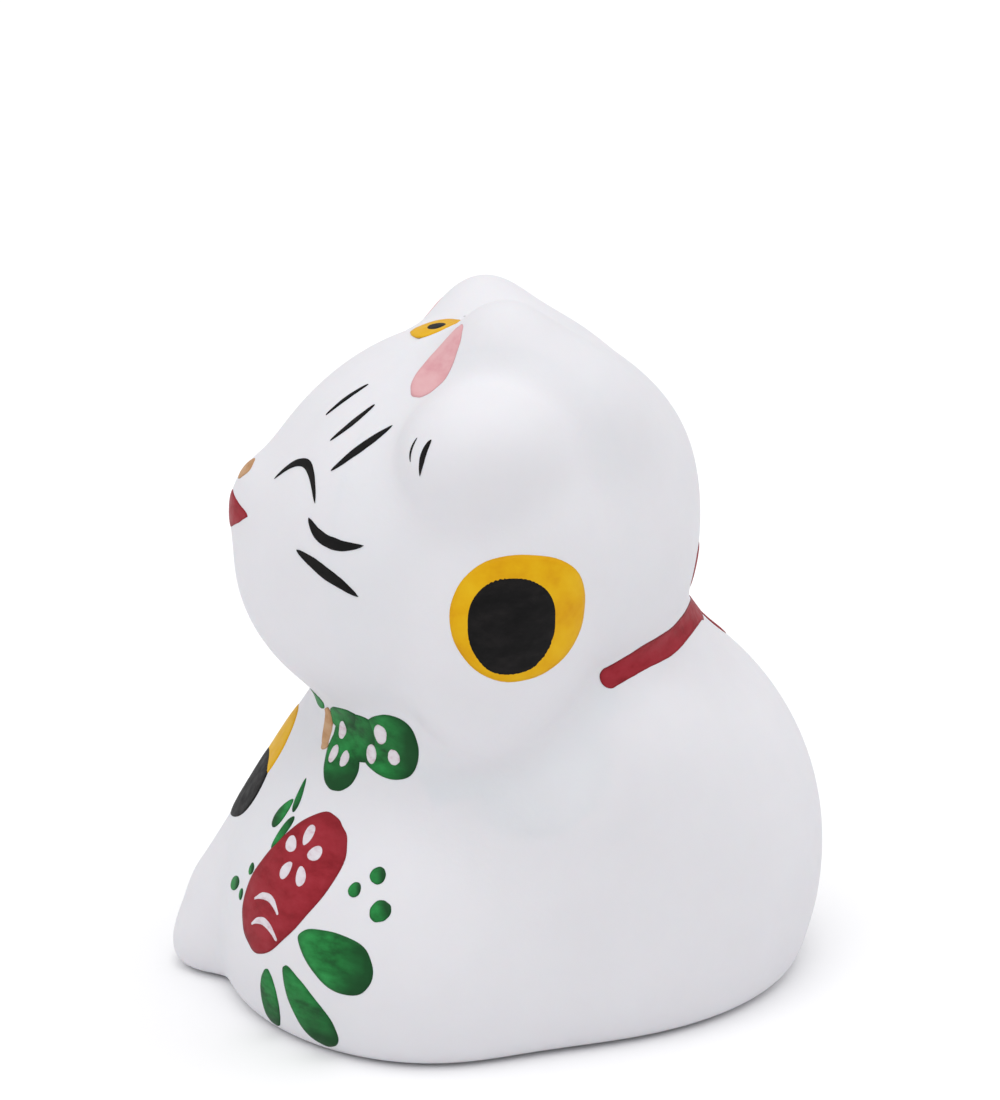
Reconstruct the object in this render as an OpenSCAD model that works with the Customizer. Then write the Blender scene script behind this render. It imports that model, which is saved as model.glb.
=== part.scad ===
// Beckoning cat figurine: hollow luted clay body, raised left foreleg, painted decoration.
// Millimetres. Z up, base on z = 0, the cat faces -Y, its left side is +X.

/* [Head] */
// turn of the head toward the right shoulder, degrees
head_turn = 15; // [8:1:20]
// lean of the head toward the right shoulder, degrees
head_lean = 10.5; // [6:0.5:13]
// height of the middle of the head above the table
head_z = 53.5; // [52.5:0.5:54.5]

/* [Clay] */
// thickness of the fired clay wall
wall = 3.5; // [2.5:0.5:4.5]
// radius of the disc that closes the underside
plug_r = 22; // [20:0.5:23]
// thickness of the disc that closes the underside
plug_h = 4; // [3:0.5:5]
// radius of the vent hole through the disc
vent_r = 3; // [2:0.5:4]

/* [Paint] */
// how far a coat of paint stands proud of the clay
paint = 0.12; // [0.08:0.02:0.3]
// half length of the chest seal
seal_half = 8.8; // [8:0.1:9.5]
// radius of the yellow spot on the raised foreleg
arm_spot_r = 7.1; // [6:0.1:8]
// width of the painted neck band
collar_w = 3.1; // [2:0.1:3.6]

/* [Hidden] */
columns = 48;
outer_rows = 22;
inner_rows = 8;
sink = 0.1;
proud = 0.06;
halvings = 12;
reach = 62;
foot_round = 3;
vent_y = 9;
neck_rise = 0.29;
neck_z = 36.5;
head_c = [0.8, -3.5, head_z];
body_c = [0, 0, 20];
arm_c = [-6, -7, 52];
leg_c = [4, 2, 22];
neck_c = [0, 0, neck_z];
neck_n = [0, -neck_rise, 1] / norm([0, -neck_rise, 1]);
eye3 = [[1, 0, 0], [0, 1, 0], [0, 0, 1]];

clay = [0.93, 0.92, 0.94];
red = [0.6, 0.1, 0.18];
green = [0.13, 0.5, 0.25];
yellow = [0.95, 0.68, 0.08];
black = [0.1, 0.09, 0.1];
pink = [0.9, 0.66, 0.7];
tan_c = [0.8, 0.58, 0.36];
pale = [0.97, 0.9, 0.93];

// ---- turning matrices and directions
function about_x(a) = [[1, 0, 0], [0, cos(a), -sin(a)], [0, sin(a), cos(a)]];
function about_y(a) = [[cos(a), 0, sin(a)], [0, 1, 0], [-sin(a), 0, cos(a)]];
function about_z(a) = [[cos(a), -sin(a), 0], [sin(a), cos(a), 0], [0, 0, 1]];
function flipped(m) = [for (j = [0:2]) [for (i = [0:2]) m[i][j]]];
function unit(v) = v / norm(v);
function toward(lon, lat) = [sin(lon) * cos(lat), -cos(lon) * cos(lat), sin(lat)];

head_m = about_z(-head_turn) * about_y(-head_lean);
head_back = flipped(head_m);
neck_m = about_x(atan(neck_rise));
ear_tip_back = flipped(about_y(15));
ear_ridge_back = flipped(about_y(15) * about_x(-30));

// ---- the clay form as one blended distance field, negative inside
function over(q, r) = [q.x / r.x, q.y / r.y, q.z / r.z];
function egg(q, r) =
  let(a = over(q, r), k = norm(a), g = norm(over(a, r)))
  k * (k - 1) / max(g, 0.000001);
function bar(p, a, b, r) =
  let(d = b - a, t = min(1, max(0, ((p - a) * d) / (d * d))))
  norm(p - a - t * d) - r;
function blend(a, b, r) =
  let(h = max(r - abs(a - b), 0) / r)
  min(a, b) - h * h * h * r / 6;

function skull(h) =
  let(
    cheeks = blend(egg(h, [23.5, 22.5, 20.5]), egg(h - [0, -2.8, -4.5], [23, 24.5, 19.5]), 8),
    muzzle = blend(cheeks, egg(h - [0, -22.8, 1.2], [7, 4.5, 5]), 4))
  blend(muzzle, egg(h - [0, 2, 5], [17.2, 18.8, 12.6]), 8);
// the two ridges over the back of the head, with or without the ear tips
function ears(h, tips) =
  let(m = [abs(h.x), h.y, h.z],
    ridge = egg(ear_ridge_back * (m - [13.5, 6.5, 13]), [7.4, 9.5, 6.5]))
  tips ? blend(egg(ear_tip_back * (m - [13, 1.5, 16.5]), [6.5, 5.5, 7.5]), ridge, 6)
  : ridge;
function trunk(p) =
  let(
    rump = egg(p - [0, 3.8, 13.3], [29, 31.3, 30.4]),
    chest = blend(rump, egg(p - [2, -6, 21], [14, 13.5, 22]), 10),
    belly = blend(chest, egg(p - [3.8, -14.8, 7.5], [24.8, 18.5, 20]), 10),
    foot = blend(belly, egg(p - [0, -1, 3.5], [26.2, 28.7, 9]), 10),
    shoulder = blend(foot, egg(p - [17, 3, 30], [10, 12, 10]), 12),
    nape = blend(shoulder, egg(p - [3, 12, 38], [12, 8, 5.5]), 6))
  blend(nape, egg(p - [9, -13, 33], [9, 6.5, 5]), 5);
function foreleg(p) =
  blend(bar(p, [-9, -7.7, 33], [-10, -27, 7.2], 7.2),
    egg(p - [-10, -27.2, 2.5], [7, 9, 7]), 4);
function raised(p) =
  blend(blend(egg(p - [18.5, -9, 46.5], [9.5, 10.4, 14.5]),
    egg(p - [18.5, -6.2, 55.5], [9.5, 9.4, 12]), 6),
    egg(p - [18.5, -9.5, 65.5], [8.5, 9.3, 8]), 4);

// which parts of the form are left in: [ear tips, standing foreleg, raised foreleg]
whole = [true, true, true];
bare = [false, false, false];
no_raised = [true, true, false];
no_standing = [true, false, true];

function field(p, with) =
  let(
    h = head_back * (p - head_c),
    head = blend(skull(h), ears(h, with[0]), 11),
    t = trunk(p),
    body = with[1] ? blend(t, foreleg(p), 4) : t,
    both = blend(head, body, 6),
    f = with[2] ? blend(both, raised(p), 4) : both,
    k = max(foot_round - abs(f + p.z), 0) / foot_round)
  max(f, -p.z) + k * k * k * foot_round / 6;

// distance along direction u from c at which the field reaches level
function reached(c, u, with, level, lo, hi, n) =
  let(mid = (lo + hi) / 2)
  n == 0 ? mid
  : field(c + mid * u, with) < level ? reached(c, u, with, level, mid, hi, n - 1)
  : reached(c, u, with, level, lo, mid, n - 1);
function hit(c, u, with, level = 0) = reached(c, u, with, level, 0, reach, halvings);

// ---- hollow shells, drawn as rows of rays closed into one loop
function neck_way(a) = neck_m * [sin(a), -cos(a), 0];
function neck_rim(a, level) =
  neck_c + neck_way(a) * hit(neck_c, neck_way(a), bare, level);
function between(u, v, t) =
  let(w = acos(min(1, unit(u) * unit(v))))
  (sin((1 - t) * w) * unit(u) + sin(t * w) * unit(v)) / sin(w);
function shell_row(c, from, to, t, level) =
  [for (i = [0:columns - 1])
    let(u = unit(between(from[i], to[i], t)))
    c + u * hit(c, u, bare, level)];

module closed_rows(rows, ring) {
  // rows of equal length; ring true joins the last row to the first, false caps both ends
  n = len(rows);
  m = columns;
  last = ring ? n - 1 : n - 2;
  flat = [for (r = rows) for (p = r) p];
  sides = [for (j = [0:last]) for (i = [0:m - 1])
    let(a = j * m + i, b = j * m + (i + 1) % m)
    let(c = ((j + 1) % n) * m + i, d = ((j + 1) % n) * m + (i + 1) % m)
    each [[a, b, d], [a, d, c]]];
  ends = ring ? [] : [
    for (i = [0:m - 1]) [len(flat), (i + 1) % m, i],
    for (i = [0:m - 1]) [len(flat) + 1, (n - 1) * m + i, (n - 1) * m + (i + 1) % m]];
  poles = ring ? [] : [
    [for (k = [0:2]) sum_of(rows[0], k) / m],
    [for (k = [0:2]) sum_of(rows[n - 1], k) / m]];
  polyhedron(points = concat(flat, poles), faces = concat(sides, ends), convexity = 8);
}
function sum_of(row, k, i = 0) = i == len(row) ? 0 : row[i][k] + sum_of(row, k, i + 1);

module head_shell() {
  crown = unit(head_m * [0, 0.1, 1]);
  top = [for (i = [0:columns - 1]) crown];
  turn = 360 / columns;
  rim_out = [for (i = [0:columns - 1]) neck_rim(i * turn, 0)];
  rim_in = [for (i = [0:columns - 1]) neck_rim(i * turn, -wall)];
  to_out = [for (p = rim_out) p - head_c];
  to_in = [for (p = rim_in) p - head_c];
  outside = [for (j = [1:outer_rows - 1]) shell_row(head_c, top, to_out, j / outer_rows, 0)];
  inside = [for (j = [1:inner_rows - 1])
    shell_row(head_c, top, to_in, 1 - j / inner_rows, -wall)];
  color(clay)
    closed_rows(concat(outside, [rim_out], [rim_in], inside), false);
}

module body_shell() {
  turn = 360 / columns;
  rim_out = [for (i = [0:columns - 1]) neck_rim(i * turn, 0)];
  rim_in = [for (i = [0:columns - 1]) neck_rim(i * turn, -wall)];
  foot = [for (i = [0:columns - 1]) plug_r * [sin(i * turn), -cos(i * turn), 0]];
  ledge = [for (p = foot) p + [0, 0, plug_h]];
  from_out = [for (p = rim_out) p - body_c];
  from_in = [for (p = rim_in) p - body_c];
  to_out = [for (p = foot) p * 1.04 - body_c];
  to_in = [for (p = ledge) [p.x * 1.08, p.y * 1.08, p.z + 0.6] - body_c];
  outside = [for (j = [1:outer_rows])
    shell_row(body_c, from_out, to_out, j / outer_rows, 0)];
  inside = [for (j = [0:inner_rows - 1])
    shell_row(body_c, from_in, to_in, 1 - j / inner_rows, -wall)];
  color(clay)
    closed_rows(concat([rim_out], outside, [foot], [ledge], inside, [rim_in]), true);
}

module base_plug() {
  // flat disc luted into the foot of the body, with the vent hole of the hollow firing
  color(clay)
    difference() {
      cylinder(h = plug_h, r = plug_r, $fn = 96);
      translate([0, vent_y, -1])
        cylinder(h = plug_h + 2, r = vent_r, $fn = 48);
    }
}

// ---- patches that lie on the clay, drawn outward from a centre
// an area is [centre, turning matrix]
on_head = [head_c, head_m];
on_body = [body_c, eye3];
on_arm = [arm_c, eye3];
on_leg = [leg_c, eye3];

// on_skin has no centre: its spots are [x, y, z] and settle onto the clay
on_skin = [];

function lift_at(p, with) =
  let(e = 0.02)
  [for (k = eye3) (field(p + e * k, with) - field(p - e * k, with)) / (2 * e)];
function settle(p, level, n = 5) =
  n == 0 ? p
  : let(g = lift_at(p, whole))
    settle(p - (field(p, whole) - level) / max(g * g, 0.05) * g, level, n - 1);

function aim(area, spot) = area[1] * toward(spot[0], spot[1]);
// a place on the clay with its east and north tangents: [point, east, north]
function stand(area, spot) =
  area == on_skin
  ? let(p = settle(spot, 0), out = unit(lift_at(p, whole)), e = unit(cross([0, 0, 1], out)))
    [p, e, cross(out, e)]
  : let(d = aim(area, spot), e = area[1] * [cos(spot[0]), sin(spot[0]), 0])
    [area[0] + d * hit(area[0], d, whole), e, cross(e, -1 * d)];
// a point near the clay brought to a height over it
function land(area, p, high) =
  area == on_skin ? settle(p, high)
  : let(u = unit(p - area[0])) area[0] + u * (hit(area[0], u, whole) + high);

function rounded(a, power) =
  1 / pow(pow(abs(cos(a)), power) + pow(abs(sin(a)), power), 1 / power);
function above_floor(p) = [p.x, p.y, max(p.z, 0)];

// outline point k of n, half axes ru and rv, narrowed to one end by taper
function edge_of(k, n, ru, rv, power, taper) =
  let(a = 360 * k / n, q = rounded(a, power))
  [ru * q * cos(a), rv * q * sin(a) * (1 + taper * cos(a))];

module patch(top, under, n, rings) {
  // top and under: [middle point, then rings * n points]
  m = rings * n + 1;
  fan = [for (k = [0:n - 1]) [0, 1 + (k + 1) % n, 1 + k]];
  belts = [for (j = [0:1:rings - 2]) for (k = [0:n - 1])
    let(a = 1 + j * n + k, b = 1 + j * n + (k + 1) % n)
    each [[a, b, b + n], [a, b + n, a + n]]];
  sheet = concat(fan, belts);
  low = [for (f = sheet) [f[2] + m, f[1] + m, f[0] + m]];
  rim = [for (k = [0:n - 1])
    let(a = 1 + (rings - 1) * n + k, b = 1 + (rings - 1) * n + (k + 1) % n)
    each [[a, b, b + m], [a, b + m, a + m]]];
  polyhedron(points = concat(top, under), faces = concat(sheet, low, rim), convexity = 6);
}

// a clay piece standing on the form that is left when it is taken off
module relief(area, spot, ru, rv, power, with, without, n, rings) {
  c = area[0];
  d = aim(area, spot);
  r0 = hit(c, d, with);
  e = area[1] * [cos(spot[0]), sin(spot[0]), 0];
  f = cross(e, -1 * d);
  ways = concat([d], [for (j = [1:rings]) for (k = [0:n - 1])
    let(q = edge_of(k, n, ru, rv, power, 0) * j / rings)
    unit(d * r0 + e * q.x + f * q.y)]);
  lows = [for (u = ways) hit(c, u, without)];
  // the piece fades into the clay round it towards its rim
  top = [for (i = [0:len(ways) - 1])
    let(fade = 1 - pow(ceil(i / n) / rings, 12), rise = hit(c, ways[i], with) - lows[i])
    above_floor(c + ways[i] * (lows[i] + max(proud, rise * fade)))];
  under = [for (i = [0:len(ways) - 1]) above_floor(c + ways[i] * (lows[i] - sink))];
  patch(top, under, n, rings);
}

// a coat of paint, blob shaped: half axes ru and rv, the first turned by spin
module dab(area, spot, ru, rv, spin = 0, taper = 0, coats = 1, power = 2, n = 16, rings = 3) {
  at = stand(area, spot);
  e = cos(spin) * at[1] + sin(spin) * at[2];
  f = cos(spin) * at[2] - sin(spin) * at[1];
  near = concat([at[0]], [for (j = [1:rings]) for (k = [0:n - 1])
    let(q = edge_of(k, n, ru, rv, power, taper) * j / rings)
    at[0] + e * q.x + f * q.y]);
  top = [for (p = near) above_floor(land(area, p, paint * coats))];
  under = [for (p = near) above_floor(land(area, p, -sink))];
  patch(top, under, n, rings);
}

// a brush stroke from a by way of b to e, half width w
module stroke(area, a, b, e, w, blunt = 0.12, coats = 1, steps = 9) {
  mids = [for (i = [0:steps])
    let(t = i / steps)
    stand(area, (1 - t) * (1 - t) * a + 2 * t * (1 - t) * b + t * t * e)[0]];
  near = [for (i = [0:steps])
    let(
      t = i / steps,
      run = mids[min(i + 1, steps)] - mids[max(i - 1, 0)],
      side = unit(cross(run, lift_at(mids[i], whole))),
      half = w * max(blunt, pow(sin(180 * min(0.98, max(0.02, t))), 0.6)))
    for (s = [-1:1]) mids[i] + side * half * s];
  top = [for (p = near) above_floor(land(area, p, paint * coats))];
  under = [for (p = near) above_floor(land(area, p, -sink))];
  m = len(near);
  sheet = [for (i = [0:steps - 1]) for (s = [0:1])
    let(p = 3 * i + s)
    each [[p, p + 4, p + 1], [p, p + 3, p + 4]]];
  low = [for (f = sheet) [f[2] + m, f[1] + m, f[0] + m]];
  loop = concat([for (i = [0:steps]) 3 * i], [3 * steps + 1],
    [for (i = [0:steps]) 3 * (steps - i) + 2], [1]);
  rim = [for (k = [0:len(loop) - 1])
    let(p = loop[k], q = loop[(k + 1) % len(loop)])
    each [[p, q + m, q], [p, p + m, q + m]]];
  polyhedron(points = concat(top, under), faces = concat(sheet, low, rim), convexity = 6);
}

// ---- clay pieces
module ear_piece(side) {
  color(clay)
    relief(on_head, [side * 95, 55], 16.5, 16.5, 2, no_raised, bare, 24, 8);
}
module left_ear() ear_piece(1);
module right_ear() ear_piece(-1);
module raised_foreleg() {
  color(clay)
    relief(on_arm, [80, 6], 23, 39, 2.3, whole, no_raised, 36, 12);
}
module standing_foreleg() {
  color(clay)
    relief(on_leg, [-28, -4], 18, 28, 2.3, whole, no_standing, 28, 10);
}

// ---- face
module nose_paint() color(tan_c) dab(on_head, [1.5, 11.5], 2, 1.25, 0, 0, 1, 1.6);
module mouth_paint() color(red) dab(on_head, [0, 1.7], 7, 2, 0, 0, 1, 1.3, 20);
module eye_line(side)
  color(black) stroke(on_head, [side * 19.5, 11.5], [side * 31, 24.5], [side * 39, 7.5], 0.5);
module left_eye_line() eye_line(1);
module right_eye_line() eye_line(-1);
module brow_marks(side) {
  color(black) {
    stroke(on_head, [side * 27, 31], [side * 31, 38], [side * 37, 43], 0.32);
    stroke(on_head, [side * 36, 24], [side * 42, 30.5], [side * 46.5, 36.3], 0.36);
    stroke(on_head, [side * 41, 16], [side * 48.5, 23.5], [side * 57, 30], 0.5);
  }
}
module left_brow_marks() brow_marks(1);
module right_brow_marks() brow_marks(-1);
module whiskers(side) {
  color(black) {
    stroke(on_head, [side * 38, 4], [side * 43.5, -3.5], [side * 55, -1.5], 0.65);
    stroke(on_head, [side * 35.5, -3.7], [side * 44.5, -8], [side * 53.3, -13.7], 0.65);
  }
}
module left_whiskers() whiskers(1);
module right_whiskers() whiskers(-1);
module inner_ear(side)
  color(pink) dab(on_head, [side * 68.5, 48], 4.5, 2.25, side > 0 ? -113 : -67, 0.35);
module left_inner_ear() inner_ear(1);
module right_inner_ear() inner_ear(-1);

// ---- coat spots: a yellow rim with a black middle painted over it
module head_spot_rim() color(yellow) dab(on_head, [22, 74.7], 4.4, 2.9, -22, 0, 1, 2, 20, 4);
module head_spot() color(black) dab(on_head, [28.5, 74.2], 2.3, 1.1, -21, 0, 2);
module arm_spot_rim()
  color(yellow) dab(on_arm, [86.6, -2.4], arm_spot_r * 1.1, arm_spot_r, 0, 0, 1.2, 2.2, 24, 4);
module arm_spot()
  color(black) dab(on_arm, [84.9, -3.4], arm_spot_r * 0.75, arm_spot_r * 0.845, 0, 0, 2.2, 2.2, 24, 4);
module foreleg_spot_rim() color(yellow) dab(on_skin, [-11, -24.8, 25], 6.6, 5.2, 0, 0, 2, 2, 24, 4);
module foreleg_spot() color(black) dab(on_skin, [-11, -27.1, 21.1], 7.1, 4.6, 15, 0, 3, 2, 24, 4);
module paw_toe_lines() {
  color(black) {
    stroke(on_arm, [67.3, 31.2], [65.4, 29.1], [65.9, 26.9], 0.2, 0.4);
    stroke(on_arm, [70.4, 30.3], [68.4, 28.5], [68, 24], 0.4);
  }
}

// ---- green ribbon bow on the chest, its far loop mostly under the chin
module neck_bow() {
  color(green) {
    dab(on_skin, [13.4, -18.9, 32.3], 4.3, 3.6, 5, 0.1);
    dab(on_skin, [9.4, -20.8, 32.2], 3.6, 2.8, 0, 0, 1.2);
    dab(on_skin, [7.8, -22.6, 29.6], 4.1, 2.5, -50, 0.2, 1.4);
    dab(on_skin, [6.2, -20.8, 33.4], 3.4, 1.5, 10, 0, 1.3);
    dab(on_skin, [-0.4, -21.3, 34.3], 1.9, 1.2, 170, 0.1);
  }
}
// middle and half axes of each pale dot
bow_dots = [
  [[6.2, -21.6, 32], 1.2, 0.8],
  [[6.6, -22.8, 29.5], 1.2, 0.75],
  [[8.5, -22.2, 29.5], 1.1, 0.75],
  [[12.6, -19.5, 33.5], 1.2, 1.1],
  [[11.6, -20.2, 31], 1.2, 0.85],
  [[14.4, -18.6, 31.4], 1, 0.9]];
module neck_bow_dots() {
  color(pale)
    for (s = bow_dots)
      dab(on_skin, s[0], s[1], s[2], 100, 0, 3, 2, 10, 1);
}
module neck_bow_knot()
  color(tan_c) stroke(on_skin, [2.2, -21.9, 33.4], [2.9, -22.3, 31.4], [4.6, -23.3, 29.4], 1, 0.6, 2);

// ---- seal and leaves on the belly
module chest_seal()
  color(red) dab(on_body, [20.8, -4], seal_half, seal_half * 0.57, 53, 0, 1, 2.6, 28, 5);
module seal_blossom() {
  color(pale) {
    for (k = [0:4])
      dab(on_body, [22 + 4 * cos(72 * k + 20), 0.6 + 3.9 * sin(72 * k + 20)],
        1.15, 0.8, 72 * k + 20, 0.2, 2.4, 2, 10, 2);
    stroke(on_body, [12.5, -10], [17.5, -6.5], [21.5, -10], 0.5, 0.4, 2.4);
    stroke(on_body, [13.5, -14], [17.5, -10.5], [22.5, -14], 0.5, 0.4, 2.4);
  }
}
module chest_leaves() {
  color(green) {
    dab(on_body, [36.2, -13.5], 5.2, 2.7, -13, 0.35, 1, 2, 20, 4);
    dab(on_body, [30.5, -23], 5.2, 2.2, -48, 0.35, 1, 2, 20, 4);
    dab(on_body, [20.3, -24.5], 3.4, 1.7, -88, 0.1, 1, 2, 16, 3);
    dab(on_body, [12.1, 10.3], 1.8, 0.5, -70, 0.3, 1, 2, 10, 2);
    dab(on_body, [9.5, 5.6], 1.75, 0.9, -110, 0.3, 1, 2, 10, 2);
    dab(on_body, [13.2, 2.6], 2, 0.6, 70, 0.3, 1, 2, 10, 2);
  }
}
// direction and half axes of each green dot
dots_at = [
  [[38, -2], 0.75, 0.7],
  [[42, 1], 0.9, 0.8],
  [[44.3, -4.7], 1.2, 1],
  [[1.6, -11], 1.5, 0.7],
  [[7.6, -6.3], 0.6, 0.6],
  [[6.3, -11.3], 0.5, 0.6]];
module chest_dots() {
  color(green)
    for (s = dots_at)
      dab(on_body, s[0], s[1], s[2], 20, 0, 1, 2, 10, 2);
}

// ---- painted neck band with a bow at the nape
band_parts = [
  [[22, 2, 40], [20.4, 9.4, 42.3], [4.5, 19.5, 40.3]],
  [[-22, 2, 40], [-20.4, 9.4, 42.3], [-4.5, 19.5, 40.3]],
  [[8, 18, 41], [0, 22.6, 40.1], [-8, 18, 41]]];
module collar_band() {
  color(red)
    for (s = band_parts)
      stroke(on_skin, s[0], s[1], s[2], collar_w / 2, 0.85, 1, 9);
}
module nape_bow() {
  color(red) {
    dab(on_skin, [8, 18.3, 46.5], 5, 2.2, 145, 0.3, 2);
    dab(on_skin, [-8, 18.3, 46.5], 5, 2.2, 35, 0.3, 2);
    dab(on_skin, [0.5, 22.5, 37], 3.2, 1.3, -75, 0.3, 2);
    dab(on_skin, [-5, 21.8, 36.6], 3.2, 1.3, -120, 0.3, 2);
  }
}

head_shell();
body_shell();
base_plug();
left_ear();
right_ear();
raised_foreleg();
standing_foreleg();
nose_paint();
mouth_paint();
left_eye_line();
right_eye_line();
left_brow_marks();
right_brow_marks();
left_whiskers();
right_whiskers();
left_inner_ear();
right_inner_ear();
head_spot_rim();
head_spot();
arm_spot_rim();
arm_spot();
foreleg_spot_rim();
foreleg_spot();
paw_toe_lines();
neck_bow();
neck_bow_dots();
neck_bow_knot();
chest_seal();
seal_blossom();
chest_leaves();
chest_dots();
collar_band();
nape_bow();
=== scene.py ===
"""Beckoning cat figurine: the fine, painted model round the packed clay pieces."""

import math

import bpy
import numpy as np
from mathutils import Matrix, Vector


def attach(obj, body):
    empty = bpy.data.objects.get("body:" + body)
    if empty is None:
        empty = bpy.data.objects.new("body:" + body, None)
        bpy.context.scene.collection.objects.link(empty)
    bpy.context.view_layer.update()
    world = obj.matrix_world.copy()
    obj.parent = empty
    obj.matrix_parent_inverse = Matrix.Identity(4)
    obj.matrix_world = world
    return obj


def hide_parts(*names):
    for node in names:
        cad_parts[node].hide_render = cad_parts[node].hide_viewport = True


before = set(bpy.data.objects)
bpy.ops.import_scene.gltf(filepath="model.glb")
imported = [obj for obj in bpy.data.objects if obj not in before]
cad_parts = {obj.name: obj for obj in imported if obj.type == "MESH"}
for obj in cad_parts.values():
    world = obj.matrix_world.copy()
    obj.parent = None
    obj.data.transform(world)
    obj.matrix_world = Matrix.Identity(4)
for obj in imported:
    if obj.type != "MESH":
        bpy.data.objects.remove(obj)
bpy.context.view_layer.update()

MM = 0.001

# ---------------------------------------------------------------- turning and directions


def about_x(a):
    c, s = math.cos(math.radians(a)), math.sin(math.radians(a))
    return np.array([[1, 0, 0], [0, c, -s], [0, s, c]])


def about_y(a):
    c, s = math.cos(math.radians(a)), math.sin(math.radians(a))
    return np.array([[c, 0, s], [0, 1, 0], [-s, 0, c]])


def about_z(a):
    c, s = math.cos(math.radians(a)), math.sin(math.radians(a))
    return np.array([[c, -s, 0], [s, c, 0], [0, 0, 1]])


def unit(v):
    v = np.asarray(v, float)
    return v / np.linalg.norm(v, axis=-1, keepdims=True)


# middles that rays start from, in mm
HEAD_C = np.array([0.8, -3.5, 53.5])
BODY_C = np.array([0.0, 0.0, 20.0])
ARM_C = np.array([-6.0, -7.0, 52.0])
LEG_C = np.array([4.0, 2.0, 22.0])
NECK_C = np.array([0.0, 0.0, 36.5])

HEAD_TURN, HEAD_LEAN, EAR_SPLAY, RIDGE_PITCH = 15, 10.5, 15, 30
NECK_RISE = 0.29
HEAD_M = about_z(-HEAD_TURN) @ about_y(-HEAD_LEAN)
NECK_M = about_x(math.degrees(math.atan(NECK_RISE)))
EAR_TIP_M = about_y(EAR_SPLAY)
EAR_RIDGE_M = about_y(EAR_SPLAY) @ about_x(-RIDGE_PITCH)

WALL = 3.5
PLUG_R, PLUG_H = 22.0, 4.0

# an area to paint or build on: the middle that it is seen from, and how it is turned
ON_HEAD = (HEAD_C, HEAD_M)
ON_BODY = (BODY_C, np.eye(3))
ON_ARM = (ARM_C, np.eye(3))
ON_LEG = (LEG_C, np.eye(3))

# ---------------------------------------------------------------- the clay form, negative inside


def egg(q, r):
    r = np.array(r, float)
    k = np.linalg.norm(q / r, axis=-1)
    g = np.linalg.norm(q / (r * r), axis=-1)
    return k * (k - 1) / np.maximum(g, 1e-6)


def bar(p, a, b, r):
    a, b = np.array(a, float), np.array(b, float)
    d = b - a
    t = np.clip(((p - a) @ d) / (d @ d), 0, 1)
    return np.linalg.norm(p - a - t[..., None] * d, axis=-1) - r


def blend(a, b, r):
    h = np.maximum(r - np.abs(a - b), 0) / r
    return np.minimum(a, b) - h * h * h * r / 6


def at(p, x, y, z):
    return p - np.array([x, y, z], float)


def skull(h):
    cranium = egg(h, (23.5, 22.5, 20.5))
    cheeks = blend(cranium, egg(at(h, 0, -2.8, -4.5), (23, 24.5, 19.5)), 8)
    muzzle = blend(cheeks, egg(at(h, 0, -22.8, 1.2), (7, 4.5, 5)), 4)
    return blend(muzzle, egg(at(h, 0, 2, 5), (17.2, 18.8, 12.6)), 8)


def ears(h, tips):
    """The two ridges over the back of the head, with or without the ear tips."""
    m = h.copy()
    m[..., 0] = np.abs(m[..., 0])
    ridge = egg(at(m, 13.5, 6.5, 13) @ EAR_RIDGE_M, (7.4, 9.5, 6.5))
    if not tips:
        return ridge
    return blend(egg(at(m, 13, 1.5, 16.5) @ EAR_TIP_M, (6.5, 5.5, 7.5)), ridge, 6)


def trunk(p):
    rump = egg(at(p, 0, 3.8, 13.3), (29, 31.3, 30.4))
    chest = blend(rump, egg(at(p, 2, -6, 21), (14, 13.5, 22)), 10)
    belly = blend(chest, egg(at(p, 3.8, -14.8, 7.5), (24.8, 18.5, 20)), 10)
    foot = blend(belly, egg(at(p, 0, -1, 3.5), (26.2, 28.7, 9)), 10)
    shoulder = blend(foot, egg(at(p, 17, 3, 30), (10, 12, 10)), 12)
    nape = blend(shoulder, egg(at(p, 3, 12, 38), (12, 8, 5.5)), 6)
    return blend(nape, egg(at(p, 9, -13, 33), (9, 6.5, 5)), 5)


def foreleg(p):
    leg = bar(p, (-9, -7.7, 33), (-10, -27, 7.2), 7.2)
    return blend(leg, egg(at(p, -10, -27.2, 2.5), (7, 9, 7)), 4)


def raised(p):
    elbow = egg(at(p, 18.5, -9, 46.5), (9.5, 10.4, 14.5))
    arm = blend(elbow, egg(at(p, 18.5, -6.2, 55.5), (9.5, 9.4, 12)), 6)
    return blend(arm, egg(at(p, 18.5, -9.5, 65.5), (8.5, 9.3, 8)), 4)


FOOT_ROUND = 3.0
EAR_BLEND, LEG_BLEND, NECK_BLEND, RAISED_BLEND = 11, 4, 6, 4

# which parts of the form are left in: ear tips, standing foreleg, raised foreleg
WHOLE = (True, True, True)
BARE = (False, False, False)
NO_RAISED = (True, True, False)
NO_STANDING = (True, False, True)


def field(p, keep):
    h = (p - HEAD_C) @ HEAD_M
    head = blend(skull(h), ears(h, keep[0]), EAR_BLEND)
    body = trunk(p)
    if keep[1]:
        body = blend(body, foreleg(p), LEG_BLEND)
    f = blend(head, body, NECK_BLEND)
    if keep[2]:
        f = blend(f, raised(p), RAISED_BLEND)
    k = np.maximum(FOOT_ROUND - np.abs(f + p[..., 2]), 0) / FOOT_ROUND
    return np.maximum(f, -p[..., 2]) + k * k * k * FOOT_ROUND / 6


def hit(c, ways, keep, level=0.0, reach=62.0, halvings=20):
    lo = np.zeros(ways.shape[:-1])
    hi = np.full(ways.shape[:-1], reach)
    for _ in range(halvings):
        mid = (lo + hi) / 2
        inside = field(c + mid[..., None] * ways, keep) < level
        lo = np.where(inside, mid, lo)
        hi = np.where(inside, hi, mid)
    return (lo + hi) / 2


def rise_of(p, keep, e):
    """How fast the field grows along x, y and z, times 2 e."""
    return np.stack([field(p + e * k, keep) - field(p - e * k, keep) for k in np.eye(3)], -1)


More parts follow.
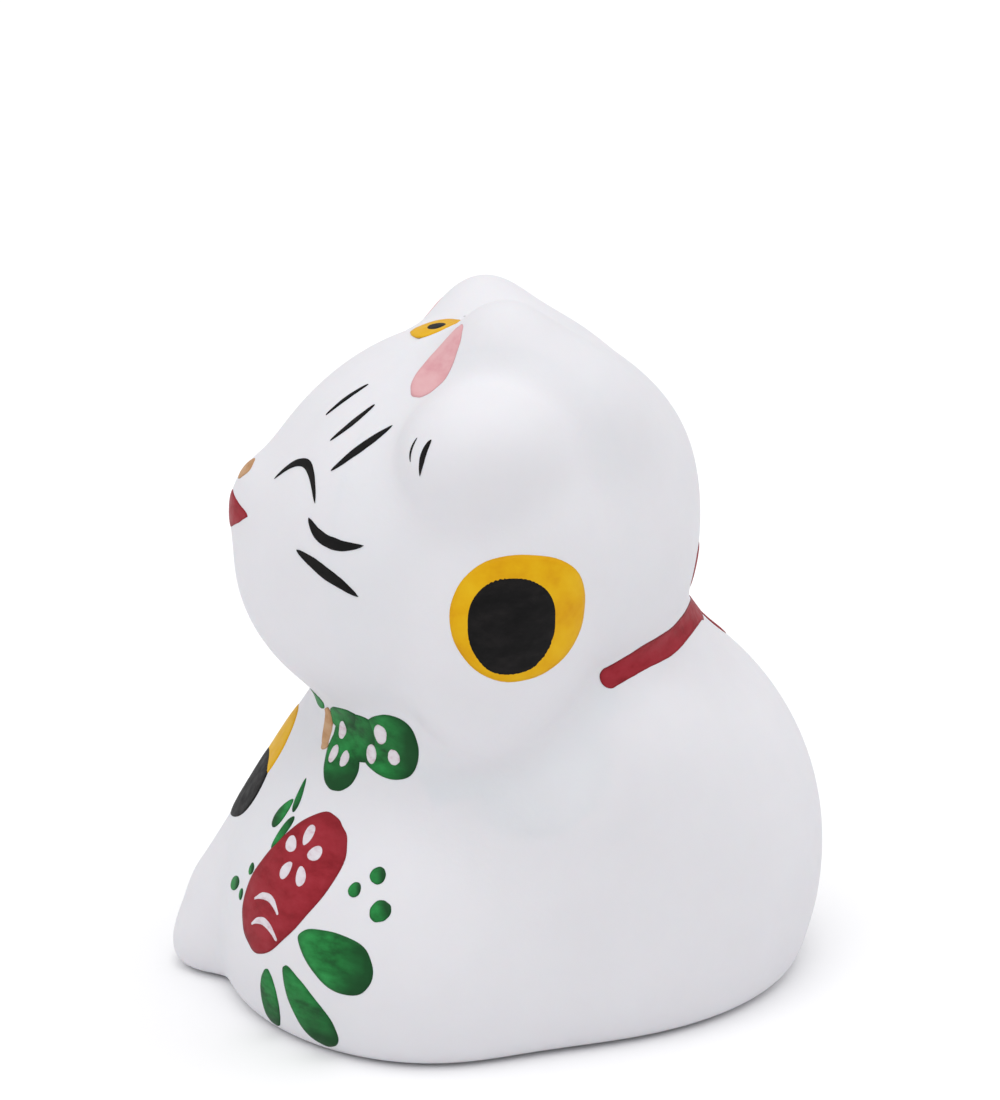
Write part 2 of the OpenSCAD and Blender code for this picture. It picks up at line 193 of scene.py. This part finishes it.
def slope(p, keep=WHOLE):
    return unit(rise_of(p, keep, 0.04))


# ---------------------------------------------------------------- meshes


def make(name, points, faces, material, normals=None, marks=None):
    mesh = bpy.data.meshes.new(name)
    mesh.from_pydata((np.asarray(points) * MM).tolist(), [], faces)
    mesh.validate()
    mesh.polygons.foreach_set("use_smooth", [True] * len(mesh.polygons))
    if marks is not None:
        for k, word in enumerate(("edge", "along")):
            layer = mesh.attributes.new(word, "FLOAT", "POINT")
            layer.data.foreach_set("value", np.ascontiguousarray(marks[:, k], np.float32))
    if normals is not None:
        mesh.normals_split_custom_set_from_vertices(np.asarray(normals).tolist())
    mesh.update()
    obj = bpy.data.objects.new(name, mesh)
    bpy.context.scene.collection.objects.link(obj)
    mesh.materials.append(material)
    return obj


def join_parts(parts):
    """Several (points, faces, normals, marks) as one."""
    points, faces, normals, marks, n = [], [], [], [], 0
    for p, f, q, m in parts:
        points.append(p)
        normals.append(q)
        marks.append(m)
        faces += [tuple(i + n for i in face) for face in f]
        n += len(p)
    return np.concatenate(points), faces, np.concatenate(normals), np.concatenate(marks)


def loop_faces(rows, cols, ring):
    last = rows if ring else rows - 1
    out = []
    for j in range(last):
        for i in range(cols):
            k = (i + 1) % cols
            here, there = j * cols, ((j + 1) % rows) * cols
            out.append((here + i, there + i, there + k, here + k))
    return out


def neck_ways(n):
    a = np.arange(n) * 2 * math.pi / n
    return np.stack([np.sin(a), -np.cos(a), 0 * a], -1) @ NECK_M.T


def neck_rim(n, level):
    w = neck_ways(n)
    return NECK_C + w * hit(NECK_C, w, BARE, level)[:, None]


def between(u, v, t):
    u, v = unit(u), unit(v)
    w = np.arccos(np.clip((u * v).sum(-1), -1, 1))[..., None]
    return unit((np.sin((1 - t) * w) * u + np.sin(t * w) * v) / np.sin(w))


def rows_between(c, start, end, ts, level):
    out = []
    for t in ts:
        u = between(start, end, t)
        out.append(c + u * hit(c, u, BARE, level)[:, None])
    return out


COLS, OUT_ROWS, IN_ROWS = 240, 130, 24


def head_shell():
    rim_out, rim_in = neck_rim(COLS, 0), neck_rim(COLS, -WALL)
    crown = np.tile(unit(HEAD_M @ np.array([0, 0.1, 1.0])), (COLS, 1))
    ts = [j / OUT_ROWS for j in range(1, OUT_ROWS)]
    outside = rows_between(HEAD_C, crown, rim_out - HEAD_C, ts, 0)
    ti = [1 - j / IN_ROWS for j in range(1, IN_ROWS)]
    inside = rows_between(HEAD_C, crown, rim_in - HEAD_C, ti, -WALL)
    rows = outside + [rim_out, rim_in] + inside
    top = (HEAD_C + crown[:1] * hit(HEAD_C, crown[:1], BARE)[:, None])
    low = (HEAD_C + crown[:1] * hit(HEAD_C, crown[:1], BARE, -WALL)[:, None])
    points = np.concatenate(rows + [top, low])
    n = len(rows)
    faces = loop_faces(n, COLS, False)
    faces += [(n * COLS, i, (i + 1) % COLS) for i in range(COLS)]
    last = (n - 1) * COLS
    faces += [(n * COLS + 1, last + (i + 1) % COLS, last + i) for i in range(COLS)]
    normals = np.zeros_like(points)
    k = OUT_ROWS * COLS
    normals[:k] = slope(points[:k], WHOLE)
    normals[n * COLS] = slope(points[n * COLS], WHOLE)
    return points, faces, normals


def body_shell():
    rim_out, rim_in = neck_rim(COLS, 0), neck_rim(COLS, -WALL)
    a = np.arange(COLS) * 2 * math.pi / COLS
    foot = PLUG_R * np.stack([np.sin(a), -np.cos(a), 0 * a], -1)
    ledge = foot + np.array([0, 0, PLUG_H])
    ts = [j / OUT_ROWS for j in range(1, OUT_ROWS + 1)]
    outside = rows_between(BODY_C, rim_out - BODY_C, foot * 1.04 - BODY_C, ts, 0)
    ti = [1 - j / IN_ROWS for j in range(IN_ROWS)]
    last = ledge * np.array([1.08, 1.08, 1]) + np.array([0, 0, 0.6])
    inside = rows_between(BODY_C, rim_in - BODY_C, last - BODY_C, ti, -WALL)
    rows = [rim_out] + outside + [foot, ledge] + inside + [rim_in]
    points = np.concatenate(rows)
    faces = loop_faces(len(rows), COLS, True)
    normals = np.zeros_like(points)
    k = (OUT_ROWS - 3) * COLS
    normals[:k] = slope(points[:k], WHOLE)
    return points, faces, normals


def toward(lon, lat):
    lon, lat = math.radians(lon), math.radians(lat)
    return np.array([math.sin(lon) * math.cos(lat), -math.cos(lon) * math.cos(lat), math.sin(lat)])


def axes(area, lon, lat):
    d = area[1] @ toward(lon, lat)
    e = area[1] @ np.array([math.cos(math.radians(lon)), math.sin(math.radians(lon)), 0])
    return d, e, np.cross(e, -d)


def outline(a, ru, rv, power, taper):
    q = 1 / (np.abs(np.cos(a)) ** power + np.abs(np.sin(a)) ** power) ** (1 / power)
    return ru * q * np.cos(a), rv * q * np.sin(a) * (1 + taper * np.cos(a))


def disc_faces(n, rings):
    m = rings * n + 1
    top = [(0, 1 + k, 1 + (k + 1) % n) for k in range(n)]
    for j in range(rings - 1):
        for k in range(n):
            a, b = 1 + j * n + k, 1 + j * n + (k + 1) % n
            top.append((a, a + n, b + n, b))
    low = [tuple(i + m for i in reversed(f)) for f in top]
    side = []
    for k in range(n):
        a, b = 1 + (rings - 1) * n + k, 1 + (rings - 1) * n + (k + 1) % n
        side.append((a, a + m, b + m, b))
    return top + low + side


def above_floor(p):
    p = p.copy()
    p[..., 2] = np.maximum(p[..., 2], 0)
    return p


def relief(area, lon, lat, ru, rv, power, keep, without, n, rings, lift):
    c = area[0]
    d, e, f = axes(area, lon, lat)
    r0 = hit(c, d[None], keep)[0]
    a = np.arange(n) * 2 * math.pi / n
    x, y = outline(a, ru, rv, power, 0)
    ways, out = [d], [0.0]
    for j in range(1, rings + 1):
        s = j / rings
        ways += list(unit(d * r0 + s * x[:, None] * e + s * y[:, None] * f))
        out += [s] * n
    ways, out = np.array(ways), np.array(out)
    lows = hit(c, ways, without)
    rise = np.maximum(hit(c, ways, keep) - lows, 0) * (1 - out ** 16)
    proud = lift - (lift + 0.015) * out ** 8
    top = above_floor(c + ways * (lows + rise + proud)[:, None])
    under = above_floor(c + ways * (lows - 0.3)[:, None])
    normals = np.concatenate([slope(top, WHOLE), np.zeros_like(under)])
    return np.concatenate([top, under]), disc_faces(n, rings), normals


SKIN = 0.045  # under every coat of paint, clear of the clay pieces' own lift
ON_SKIN = None  # an area without a centre: spots are [x, y, z] and settle onto the clay


def settle(p, level):
    """Points near the clay moved straight onto it, or to a height over it."""
    e = 0.02
    for _ in range(6):
        g = rise_of(p, WHOLE, e) / (2 * e)
        step = (field(p, WHOLE) - level) / np.maximum((g * g).sum(-1), 0.05)
        p = p - step[..., None] * g
    return p


def stand(area, spot):
    """A place on the clay with its east and north tangents."""
    if area is ON_SKIN:
        p = settle(np.array([spot], float), 0.0)
        out = slope(p)[0]
        e = unit(np.cross([0, 0, 1], out))
        return p[0], e, np.cross(out, e)
    d, e, f = axes(area, *spot)
    return area[0] + d * hit(area[0], d[None], WHOLE)[0], e, f


def film(area, near, marks, coats):
    """Top and under side of a coat: rounded off towards its edge, which lies just in the clay."""
    high = SKIN + 0.075 * coats * (1 - marks[:, 0] ** 6) - 0.01 * marks[:, 0] ** 12
    if area is ON_SKIN:
        return above_floor(settle(near, high)), above_floor(settle(near, -0.1))
    c = area[0]
    ways = unit(near - c)
    r = hit(c, ways, WHOLE)
    return above_floor(c + ways * (r + high)[:, None]), above_floor(c + ways * (r - 0.1)[:, None])


def wobble(a, seed, size):
    g = np.random.default_rng(seed)
    out = np.zeros_like(a)
    for k in (2, 3, 5, 8, 13):
        out = out + g.normal() * np.sin(k * a + g.uniform(0, 6.28)) / k ** 0.7
    return 1 + size * out


def dab(area, spot, ru, rv, spin=0, taper=0, coats=1, power=2, seed=0, rough=0.025, n=64, rings=9):
    """One press of a loaded brush: a rounded blob with a slightly unsteady outline."""
    p0, e0, f0 = stand(area, spot)
    s = math.radians(spin)
    e, f = math.cos(s) * e0 + math.sin(s) * f0, math.cos(s) * f0 - math.sin(s) * e0
    a = np.arange(n) * 2 * math.pi / n
    x, y = outline(a, ru, rv, power, taper)
    w = wobble(a, seed + 11, rough)
    x, y = x * w, y * w
    near, marks = [p0], [[0.0, 0.0]]
    for j in range(1, rings + 1):
        t = (j / rings) ** 0.7
        near += list(p0 + t * x[:, None] * e + t * y[:, None] * f)
        marks += [[t, t * math.cos(v)] for v in a]
    near, marks = np.array(near), np.array(marks)
    top, under = film(area, near, marks, coats)
    points = np.concatenate([top, under])
    normals = np.concatenate([slope(top), np.zeros_like(under)])
    return points, disc_faces(n, rings), normals, np.concatenate([marks, marks])


def stroke(area, a, b, e, w, blunt=0.12, coats=1, seed=0, rough=0.05, steps=40, across=8):
    """A drawn line from a by way of b to e, swelling in the middle."""
    a, b, e = (np.array(v, float) for v in (a, b, e))
    t = (1 - np.cos(np.linspace(0, math.pi, steps + 1))) / 2
    spots = (1 - t)[:, None] ** 2 * a + 2 * (t * (1 - t))[:, None] * b + t[:, None] ** 2 * e
    mids = np.array([stand(area, s)[0] for s in spots])
    run = np.gradient(mids, t, axis=0)
    side = unit(np.cross(run, slope(mids)))
    half = w * np.maximum(blunt, np.sin(np.pi * t) ** 0.6)
    near_end = np.minimum(t, 1 - t) / 0.06
    half = half * np.maximum(np.sqrt(np.clip(1 - (1 - np.minimum(near_end, 1)) ** 2, 0, 1)), 0.05)
    left = half * wobble(t * 5, seed + 3, rough)
    right = half * wobble(t * 5, seed + 7, rough)
    rows, marks = [], []
    for i in range(steps + 1):
        for k in range(across + 1):
            s = -1 + 2 * k / across
            rows.append(mids[i] + side[i] * s * (right[i] if s > 0 else left[i]))
            marks.append([max(abs(s), abs(2 * t[i] - 1) ** 6), 2 * t[i] - 1])
    near, marks = np.array(rows), np.array(marks)
    top, under = film(area, near, marks, coats)
    m, k1 = len(near), across + 1
    sheet = []
    for i in range(steps):
        for k in range(across):
            p = i * k1 + k
            sheet.append((p, p + k1, p + k1 + 1, p + 1))
    low = [tuple(v + m for v in reversed(f)) for f in sheet]
    loop = [i * k1 for i in range(steps + 1)] + [steps * k1 + k for k in range(1, k1)]
    loop += [i * k1 + across for i in range(steps - 1, -1, -1)] + list(range(across - 1, 0, -1))
    rim = [(q, q + m, p + m, p) for p, q in zip(loop, loop[1:] + loop[:1])]
    points = np.concatenate([top, under])
    normals = np.concatenate([slope(top), np.zeros_like(under)])
    return points, sheet + low + rim, normals, np.concatenate([marks, marks])


# ---------------------------------------------------------------- materials


class Nodes:
    """A few short words for building a node tree."""

    def __init__(self, name):
        self.material = bpy.data.materials.new(name)
        self.material.use_nodes = True
        self.tree = self.material.node_tree
        self.shader = self.tree.nodes["Principled BSDF"]

    def add(self, kind, **values):
        node = self.tree.nodes.new(kind)
        for key, value in values.items():
            setattr(node, key, value)
        return node

    def link(self, a, b):
        self.tree.links.new(a, b)

    def place(self):
        return self.add("ShaderNodeTexCoord").outputs["Object"]

    def noise(self, scale, detail=3.0, rough=0.55, squeeze=None):
        n = self.add("ShaderNodeTexNoise")
        n.inputs["Scale"].default_value = scale
        n.inputs["Detail"].default_value = detail
        n.inputs["Roughness"].default_value = rough
        where = self.place()
        if squeeze:
            m = self.add("ShaderNodeMapping")
            m.inputs["Scale"].default_value = squeeze
            self.link(where, m.inputs["Vector"])
            where = m.outputs["Vector"]
        self.link(where, n.inputs["Vector"])
        return n.outputs["Fac"]

    def ramp(self, source, stops):
        r = self.add("ShaderNodeValToRGB")
        els = r.color_ramp.elements
        while len(els) < len(stops):
            els.new(0.5)
        for el, (pos, col) in zip(els, stops):
            el.position = pos
            el.color = col if len(col) == 4 else (*col, 1)
        self.link(source, r.inputs["Fac"])
        return r.outputs["Color"]

    def mix(self, fac, a, b, blend_type="MIX"):
        m = self.add("ShaderNodeMix", data_type="RGBA", blend_type=blend_type)
        for value, socket in ((fac, m.inputs[0]), (a, m.inputs[6]), (b, m.inputs[7])):
            if isinstance(value, bpy.types.NodeSocket):
                self.link(value, socket)
            else:
                socket.default_value = value if not isinstance(value, tuple) else (*value[:3], 1)
        return m.outputs[2]

    def span(self, source, lo, hi, a, b):
        m = self.add("ShaderNodeMapRange")
        for key, value in zip(("From Min", "From Max", "To Min", "To Max"), (lo, hi, a, b)):
            m.inputs[key].default_value = value
        self.link(source, m.inputs["Value"])
        return m.outputs["Result"]

    def bump(self, source, strength, distance, under=None):
        b = self.add("ShaderNodeBump")
        b.inputs["Strength"].default_value = strength
        b.inputs["Distance"].default_value = distance
        self.link(source, b.inputs["Height"])
        if under is not None:
            self.link(under, b.inputs["Normal"])
        return b.outputs["Normal"]


def bisque(name, tint=(0.735, 0.728, 0.762)):
    """Unglazed fired clay with a chalky skin: faint mottling, a fine grain and a few pinholes, whose depth
    is painted in as dark specks of shade.
    """
    n = Nodes(name)
    darker = tuple(v * 0.965 for v in tint)
    base = n.ramp(n.noise(90, 4), [(0.3, darker), (0.7, tint)])
    cells = n.add("ShaderNodeTexVoronoi")
    cells.inputs["Scale"].default_value = 190
    n.link(n.place(), cells.inputs["Vector"])
    hole = [(0.0, (1, 1, 1)), (0.028, (1, 1, 1)), (0.05, (0, 0, 0))]
    dot = n.ramp(cells.outputs["Distance"], hole)
    rare = n.add("ShaderNodeSeparateColor")
    n.link(cells.outputs["Color"], rare.inputs["Color"])
    some = n.ramp(rare.outputs["Red"], [(0.80, (0, 0, 0)), (0.82, (1, 1, 1))])
    # pinholes: painted shade, dark specks that stand in for the shadow inside small holes the mesh doesn't
    # have
    pinhole_shade = n.mix(1.0, dot, some, "MULTIPLY")
    colour = n.mix(pinhole_shade, base, tuple(v * 0.42 for v in tint))
    n.link(colour, n.shader.inputs["Base Color"])
    n.link(n.span(n.noise(700, 3), 0.3, 0.7, 0.62, 0.78), n.shader.inputs["Roughness"])
    normal = n.bump(n.noise(60, 3), 0.25, 0.0006)
    normal = n.bump(n.noise(1500, 3), 0.18, 0.00012, normal)
    n.link(normal, n.shader.inputs["Normal"])
    n.shader.inputs["Specular IOR Level"].default_value = 0.35
    n.shader.inputs["Subsurface Weight"].default_value = 0.08
    n.shader.inputs["Subsurface Scale"].default_value = 0.001
    return n.material


def brushed(name, main, dark, light, patch=300, rough=(0.45, 0.6), streak=(1, 1, 2.2),
            rim=0.5, pool=0.0, gloss=0.12):
    """Hand-brushed acrylic: faint streaks, darker at the edge and, where pool is set, at the wide end."""
    n = Nodes(name)
    streaks = n.noise(patch, 4, 0.6, streak)
    body = n.ramp(streaks, [(0.3, dark), (0.48, main), (0.75, light)])
    edge = n.add("ShaderNodeAttribute", attribute_name="edge")
    colour = n.mix(n.span(edge.outputs["Fac"], 0.8, 1.0, 0.0, rim), body, dark)
    if pool:
        along = n.add("ShaderNodeAttribute", attribute_name="along")
        uneven = n.add("ShaderNodeMath", operation="MULTIPLY_ADD")
        n.link(n.noise(patch * 0.8, 2), uneven.inputs[0])
        uneven.inputs[1].default_value = 1.1
        n.link(along.outputs["Fac"], uneven.inputs[2])
        wet = n.span(uneven.outputs["Value"], 0.55, 1.25, 0.0, pool)
        colour = n.mix(wet, colour, dark)
    n.link(colour, n.shader.inputs["Base Color"])
    n.link(n.span(n.noise(900, 2), 0.3, 0.7, rough[0], rough[1]), n.shader.inputs["Roughness"])
    normal = n.bump(n.noise(patch * 1.6, 3, 0.6, streak), 0.3, 0.0002)
    n.link(normal, n.shader.inputs["Normal"])
    n.shader.inputs["Specular IOR Level"].default_value = gloss
    return n.material


CLAY = bisque("bisque_clay")
RED = brushed("raspberry_acrylic", (0.29, 0.018, 0.028), (0.22, 0.010, 0.017), (0.34, 0.028, 0.042))
GREEN = brushed("leaf_green_acrylic", (0.013, 0.170, 0.036), (0.006, 0.056, 0.014), (0.030, 0.31, 0.075),
                patch=260, pool=0.95, gloss=0.15)
YELLOW = brushed("golden_acrylic", (0.71, 0.385, 0.003), (0.63, 0.29, 0.002), (0.77, 0.49, 0.012),
                 patch=150, streak=(1, 1, 1.3), rim=0.3)
BLACK = brushed(
    "soft_black_acrylic", (0.0060, 0.0055, 0.0058), (0.0035, 0.0033, 0.0035), (0.014, 0.012, 0.012),
    rough=(0.5, 0.65))
PINK = brushed("dusty_pink_acrylic", (0.70, 0.395, 0.415), (0.64, 0.30, 0.33), (0.73, 0.46, 0.475),
               patch=200, rough=(0.6, 0.75), rim=0.35)
TAN = brushed("tan_acrylic", (0.52, 0.31, 0.17), (0.42, 0.22, 0.10), (0.60, 0.42, 0.28), rough=(0.55, 0.7))
PALE = brushed("pale_pink_acrylic", (0.69, 0.635, 0.68), (0.58, 0.42, 0.48), (0.75, 0.72, 0.76),
               patch=600, rough=(0.55, 0.7), rim=0.6)

# ---------------------------------------------------------------- pieces


def clay(name, node, built):
    points, faces, normals = built
    obj = make(name, points, faces, CLAY, normals, None)
    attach(obj, "root")
    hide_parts(node)
    return obj


def paint(node, material, parts):
    points, faces, normals, marks = join_parts(parts)
    obj = make(node + "_coat", points, faces, material, None, marks)
    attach(obj, "root")
    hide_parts(node)
    return obj


EAR = (16.5, 16.5, 2, NO_RAISED, BARE, 120, 60, 0.01)
clay("head_bisque", "head_shell", head_shell())
clay("body_bisque", "body_shell", body_shell())
clay("left_ear_bisque", "left_ear", relief(ON_HEAD, 95, 55, *EAR))
clay("right_ear_bisque", "right_ear", relief(ON_HEAD, -95, 55, *EAR))
clay("raised_foreleg_bisque", "raised_foreleg",
     relief(ON_ARM, 80, 6, 23, 39, 2.3, WHOLE, NO_RAISED, 200, 96, 0.015))
clay("standing_foreleg_bisque", "standing_foreleg",
     relief(ON_LEG, -28, -4, 18, 28, 2.3, WHOLE, NO_STANDING, 170, 76, 0.01))

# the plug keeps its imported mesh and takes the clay's finish
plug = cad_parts["base_plug"]
plug.data.materials.clear()
plug.data.materials.append(CLAY)

# ---- face: start, way and end of each line as [longitude, latitude] on the head, and half its width
EYE_LINE = [((19.5, 11.5), (31, 24.5), (39, 7.5), 0.5)]
BROWS = [((27, 31), (31, 38), (37, 43), 0.32),
         ((36, 24), (42, 30.5), (46.5, 36.3), 0.36),
         ((41, 16), (48.5, 23.5), (57, 30), 0.5)]
WHISKERS = [((38, 4), (43.5, -3.5), (55, -1.5), 0.65),
            ((35.5, -3.7), (44.5, -8), (53.3, -13.7), 0.65)]


def face_lines(side, lines, seed):
    out = []
    for k, (*spots, half) in enumerate(lines):
        a, b, e = [(side * lon, lat) for lon, lat in spots]
        out.append(stroke(ON_HEAD, a, b, e, half, seed=seed + 3 * k + side))
    return out


def inner_ear(side):
    spin = -113 if side > 0 else -67
    return dab(ON_HEAD, (side * 68.5, 48), 4.5, 2.25, spin, 0.35, seed=20 + side)


paint("nose_paint", TAN, [dab(ON_HEAD, (1.5, 11.5), 2, 1.25, power=1.6, seed=1)])
paint("mouth_paint", RED, [dab(ON_HEAD, (0, 1.7), 7, 2, power=1.3, seed=2)])
for side, word in ((1, "left"), (-1, "right")):
    paint(word + "_eye_line", BLACK, face_lines(side, EYE_LINE, 2))
    paint(word + "_brow_marks", BLACK, face_lines(side, BROWS, 4))
    paint(word + "_whiskers", BLACK, face_lines(side, WHISKERS, 13))
    paint(word + "_inner_ear", PINK, [inner_ear(side)])

# ---- coat spots: a yellow rim with a black middle painted over it
ARM_SPOT_R = 7.1
paint("head_spot_rim", YELLOW, [dab(ON_HEAD, (22, 74.7), 4.4, 2.9, -22, seed=30)])
paint("head_spot", BLACK, [dab(ON_HEAD, (28.5, 74.2), 2.3, 1.1, -21, coats=2, seed=31)])
paint("arm_spot_rim", YELLOW, [
    dab(ON_ARM, (86.6, -2.4), 7.85, ARM_SPOT_R, power=2.2, coats=1.2, seed=32, rough=0.015)])
paint("arm_spot", BLACK, [
    dab(ON_ARM, (84.9, -3.4), 5.3, 6, power=2.2, coats=2.2, seed=33, rough=0.02)])
paint("foreleg_spot_rim", YELLOW, [
    dab(ON_SKIN, (-11, -24.8, 25), 6.6, 5.2, coats=1.5, seed=34)])
paint("foreleg_spot", BLACK, [
    dab(ON_SKIN, (-11, -27.1, 21.1), 7.1, 4.6, 15, coats=2.5, seed=35)])
paint("paw_toe_lines", BLACK, [
    stroke(ON_ARM, (67.3, 31.2), (65.4, 29.1), (65.9, 26.9), 0.2, 0.4, seed=36),
    stroke(ON_ARM, (70.4, 30.3), (68.4, 28.5), (68, 24), 0.4, seed=37)])

# ---- green ribbon bow on the chest, its far loop mostly under the chin
BOW_DOTS = [(6.2, -21.6, 32, 1.2, 0.8), (6.6, -22.8, 29.5, 1.2, 0.75), (8.5, -22.2, 29.5, 1.1, 0.75),
            (12.6, -19.5, 33.5, 1.2, 1.1), (11.6, -20.2, 31, 1.2, 0.85), (14.4, -18.6, 31.4, 1, 0.9)]
paint("neck_bow", GREEN, [
    dab(ON_SKIN, (13.4, -18.9, 32.3), 4.3, 3.6, 5, 0.1, seed=40),
    dab(ON_SKIN, (9.4, -20.8, 32.2), 3.6, 2.8, coats=1.2, seed=39),
    dab(ON_SKIN, (7.8, -22.6, 29.6), 4.1, 2.5, -50, 0.2, coats=1.4, seed=41),
    dab(ON_SKIN, (6.2, -20.8, 33.4), 3.4, 1.5, 10, coats=1.3, seed=42),
    dab(ON_SKIN, (-0.4, -21.3, 34.3), 1.9, 1.2, 170, 0.1, seed=43)])
paint("neck_bow_dots", PALE, [
    dab(ON_SKIN, (x, y, z), ru, rv, 100, coats=2.5, seed=50 + i, rough=0.05, n=24, rings=4)
    for i, (x, y, z, ru, rv) in enumerate(BOW_DOTS)])
paint("neck_bow_knot", TAN, [
    stroke(ON_SKIN, (2.2, -21.9, 33.4), (2.9, -22.3, 31.4), (4.6, -23.3, 29.4), 1, 0.6, coats=2, seed=44)])

# ---- seal and leaves on the belly


def petal(k):
    turn = 72 * k + 20
    lon = 22 + 4 * math.cos(math.radians(turn))
    lat = 0.6 + 3.9 * math.sin(math.radians(turn))
    return dab(ON_BODY, (lon, lat), 1.15, 0.8, turn, 0.2, coats=2, seed=60 + k, n=32, rings=5)


paint("chest_seal", RED, [
    dab(ON_BODY, (20.8, -4), 8.8, 5, 53, power=2.6, seed=45, n=96, rings=14)])
paint("seal_blossom", PALE, [petal(k) for k in range(5)] + [
    stroke(ON_BODY, (12.5, -10), (17.5, -6.5), (21.5, -10), 0.5, 0.4, coats=2, seed=66),
    stroke(ON_BODY, (13.5, -14), (17.5, -10.5), (22.5, -14), 0.5, 0.4, coats=2, seed=67)])
paint("chest_leaves", GREEN, [
    dab(ON_BODY, (36.2, -13.5), 5.2, 2.7, -13, 0.35, seed=70),
    dab(ON_BODY, (30.5, -23), 5.2, 2.2, -48, 0.35, seed=71),
    dab(ON_BODY, (20.3, -24.5), 3.4, 1.7, -88, 0.1, seed=72),
    dab(ON_BODY, (12.1, 10.3), 1.8, 0.5, -70, 0.3, seed=73),
    dab(ON_BODY, (9.5, 5.6), 1.75, 0.9, -110, 0.3, seed=74),
    dab(ON_BODY, (13.2, 2.6), 2, 0.6, 70, 0.3, seed=75)])
# longitude, latitude and half axes of each green dot
DOTS = [(38, -2, 0.75, 0.7), (42, 1, 0.9, 0.8), (44.3, -4.7, 1.2, 1),
        (1.6, -11, 1.5, 0.7), (7.6, -6.3, 0.6, 0.6), (6.3, -11.3, 0.5, 0.6)]
paint("chest_dots", GREEN, [
    dab(ON_BODY, (u, v), ru, rv, 20, seed=80 + i, rough=0.05, n=32, rings=5)
    for i, (u, v, ru, rv) in enumerate(DOTS)])

# ---- painted neck band with a bow at the nape
COLLAR_W = 3.1
BAND = [((22, 2, 40), (20.4, 9.4, 42.3), (4.5, 19.5, 40.3)),
        ((-22, 2, 40), (-20.4, 9.4, 42.3), (-4.5, 19.5, 40.3)),
        ((8, 18, 41), (0, 22.6, 40.1), (-8, 18, 41))]
NAPE = [(8, 18.3, 46.5, 5, 2.2, 145), (-8, 18.3, 46.5, 5, 2.2, 35),
        (0.5, 22.5, 37, 3.2, 1.3, -75), (-5, 21.8, 36.6, 3.2, 1.3, -120)]
paint("collar_band", RED, [
    stroke(ON_SKIN, *part, COLLAR_W / 2, 0.85, seed=90 + i) for i, part in enumerate(BAND)])
paint("nape_bow", RED, [
    dab(ON_SKIN, (x, y, z), ru, rv, spin, 0.3, coats=1.5, seed=94 + i)
    for i, (x, y, z, ru, rv, spin) in enumerate(NAPE)])

# ---------------------------------------------------------------- stage, light and camera

bpy.ops.mesh.primitive_plane_add(size=6, location=(0, 0, -0.00005))
floor = bpy.context.object
floor.name = "floor"
white = Nodes("pale_floor")
white.shader.inputs["Base Color"].default_value = (0.92, 0.92, 0.93, 1)
white.shader.inputs["Roughness"].default_value = 0.9
white.shader.inputs["Specular IOR Level"].default_value = 0.1
floor.data.materials.append(white.material)

world = bpy.data.worlds.new("studio")
bpy.context.scene.world = world
world.use_nodes = True
world.node_tree.nodes["Background"].inputs["Color"].default_value = (1, 1, 1, 1)
world.node_tree.nodes["Background"].inputs["Strength"].default_value = 0.54

for word, power, way in (("front_box", 1.2, (-0.12, 0.5, -1)), ("rear_box", 1.16, (-0.12, -0.45, -1))):
    box = bpy.data.lights.new(word, "SUN")
    box.energy = power
    box.angle = math.radians(75)
    box_object = bpy.data.objects.new(word, box)
    box_object.rotation_mode = "QUATERNION"
    box_object.rotation_quaternion = Vector(way).to_track_quat("-Z", "Y")
    bpy.context.scene.collection.objects.link(box_object)

AZ, EL = math.radians(70), math.radians(20.3)
FAR, VIEW_H, SENSOR = 700.0, 121.413, 36.0
ASIDE, ABOVE = 1.3245, 17.108
back = np.array([math.sin(AZ) * math.cos(EL), -math.cos(AZ) * math.cos(EL), math.sin(EL)])
right = np.array([math.cos(AZ), math.sin(AZ), 0.0])
up = np.cross(back, right)
pivot = np.array([0.0, 0.0, 30.0])
aim = pivot - right * ASIDE + up * ABOVE
eye = pivot + back * FAR
camera = bpy.data.cameras.new("camera")
camera.sensor_width = SENSOR
camera.lens = FAR / VIEW_H * SENSOR
camera.clip_start, camera.clip_end = 0.01, 20
camera_object = bpy.data.objects.new("camera", camera)
camera_object.location = eye * MM
camera_object.rotation_mode = "QUATERNION"
camera_object.rotation_quaternion = Vector(aim - eye).to_track_quat("-Z", "Y")
bpy.context.scene.collection.objects.link(camera_object)
bpy.context.scene.camera = camera_object
bpy.context.scene.view_settings.view_transform = "Standard"
